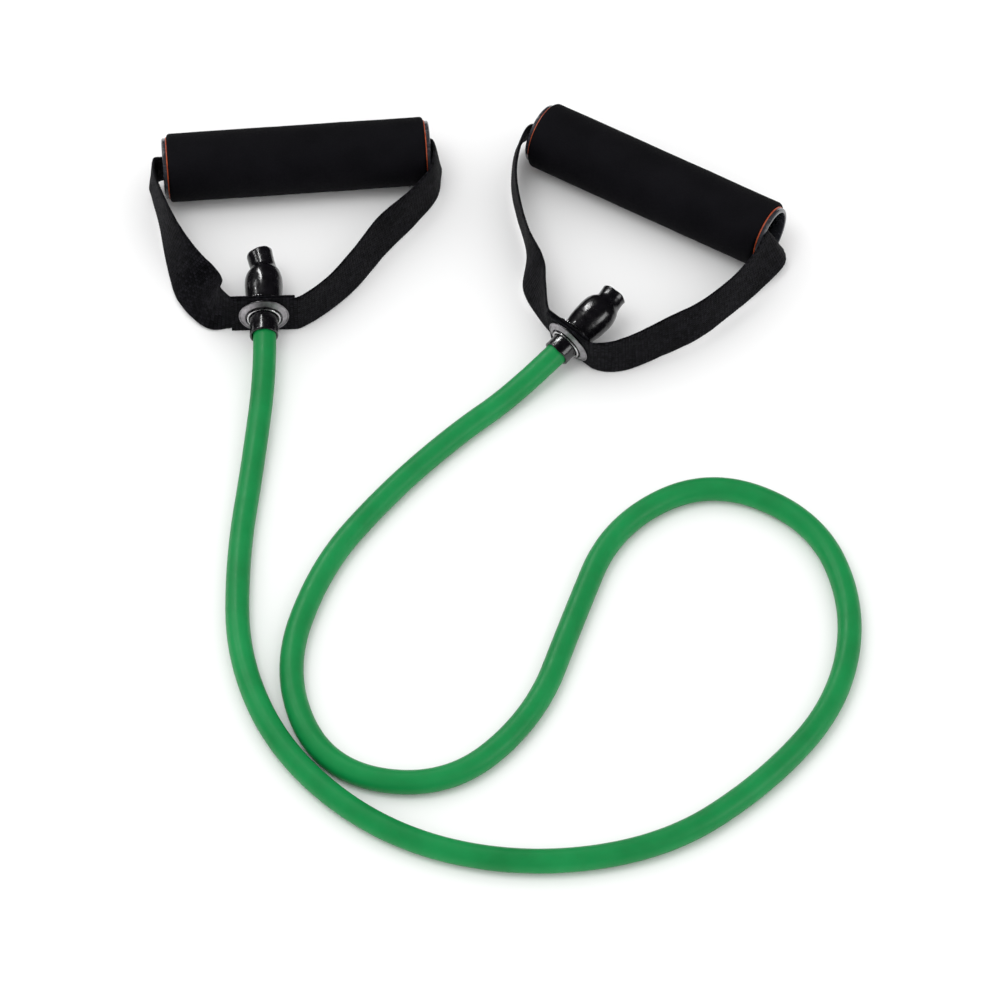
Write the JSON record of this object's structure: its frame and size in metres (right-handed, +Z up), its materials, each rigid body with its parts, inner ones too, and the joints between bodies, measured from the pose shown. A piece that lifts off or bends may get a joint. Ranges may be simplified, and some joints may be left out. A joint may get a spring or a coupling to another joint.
{
  "type": "resistance band",
  "caption": "Elastic latex exercise tube with a foam-gripped webbing strap handle at each end, each handle sliding and turning on the tube's plugged end at a metal grommet.",
  "frame": {"origin": "on the surface the band lies on, under the middle of the box round the two handles", "axes": "+Z up; +X across both handles towards the right one; +Y from the tube's loop towards the grips"},
  "size_m": [0.3436, 0.4447, 0.0342],
  "materials": {
    "green_latex": "satin",
    "black_rubber": "glossy",
    "plug_plastic": "matte",
    "nickel": "nickel plate, fine satin",
    "webbing": "ribbed polypropylene weave",
    "foam": "fine matte foam",
    "core_plastic": "matte",
    "cap_plastic": "glossy",
    "orange_plastic": "semi-gloss"
  },
  "bodies": {
    "tube": {"latex_tube": "green_latex", "left_tube_sleeve": "black_rubber", "left_stopper_plug": "plug_plastic", "right_tube_sleeve": "black_rubber", "right_stopper_plug": "plug_plastic"},
    "left_grommet": {"left_grommet_eyelet": "nickel", "left_grommet_washer": "nickel"},
    "left_strap": {"left_webbing_strap": "webbing"},
    "left_grip": {"left_foam_grip": "foam", "left_core_tube": "core_plastic", "left_outer_end_cap": "cap_plastic", "left_inner_end_cap": "cap_plastic", "left_outer_accent_ring": "orange_plastic", "left_inner_accent_ring": "orange_plastic"},
    "right_grommet": {"right_grommet_eyelet": "nickel", "right_grommet_washer": "nickel"},
    "right_strap": {"right_webbing_strap": "webbing"},
    "right_grip": {"right_foam_grip": "foam", "right_core_tube": "core_plastic", "right_outer_end_cap": "cap_plastic", "right_inner_end_cap": "cap_plastic", "right_outer_accent_ring": "orange_plastic", "right_inner_accent_ring": "orange_plastic"}
  },
  "joints": [
    {"name": "left_grommet_slide", "type": "slide", "parent": "tube", "child": "left_grommet", "axis": [0.0298, -0.9989, -0.0364], "range_m": [0, 0.012]},
    {"name": "left_handle_swivel", "type": "hinge", "parent": "left_grommet", "child": "left_strap", "pos_m": [-0.0987, -0.0476, 0.0126], "axis": [-0.0298, 0.9989, 0.0364], "continuous": true},
    {"name": "left_grip_spin", "type": "hinge", "parent": "left_strap", "child": "left_grip", "pos_m": [-0.08492, 0.04715, 0.0171], "axis": [0.996, 0.089, 0], "continuous": true},
    {"name": "right_grommet_slide", "type": "slide", "parent": "tube", "child": "right_grommet", "axis": [-0.6802, -0.711, -0.1784], "range_m": [0, 0.012]},
    {"name": "right_handle_swivel", "type": "hinge", "parent": "right_grommet", "child": "right_strap", "pos_m": [0.051, -0.0642, 0.0127], "axis": [0.6802, 0.711, 0.1784], "continuous": true},
    {"name": "right_grip_spin", "type": "hinge", "parent": "right_strap", "child": "right_grip", "pos_m": [0.09346, 0.03081, 0.0171], "axis": [0.8578, -0.514, 0], "continuous": true}
  ]
}
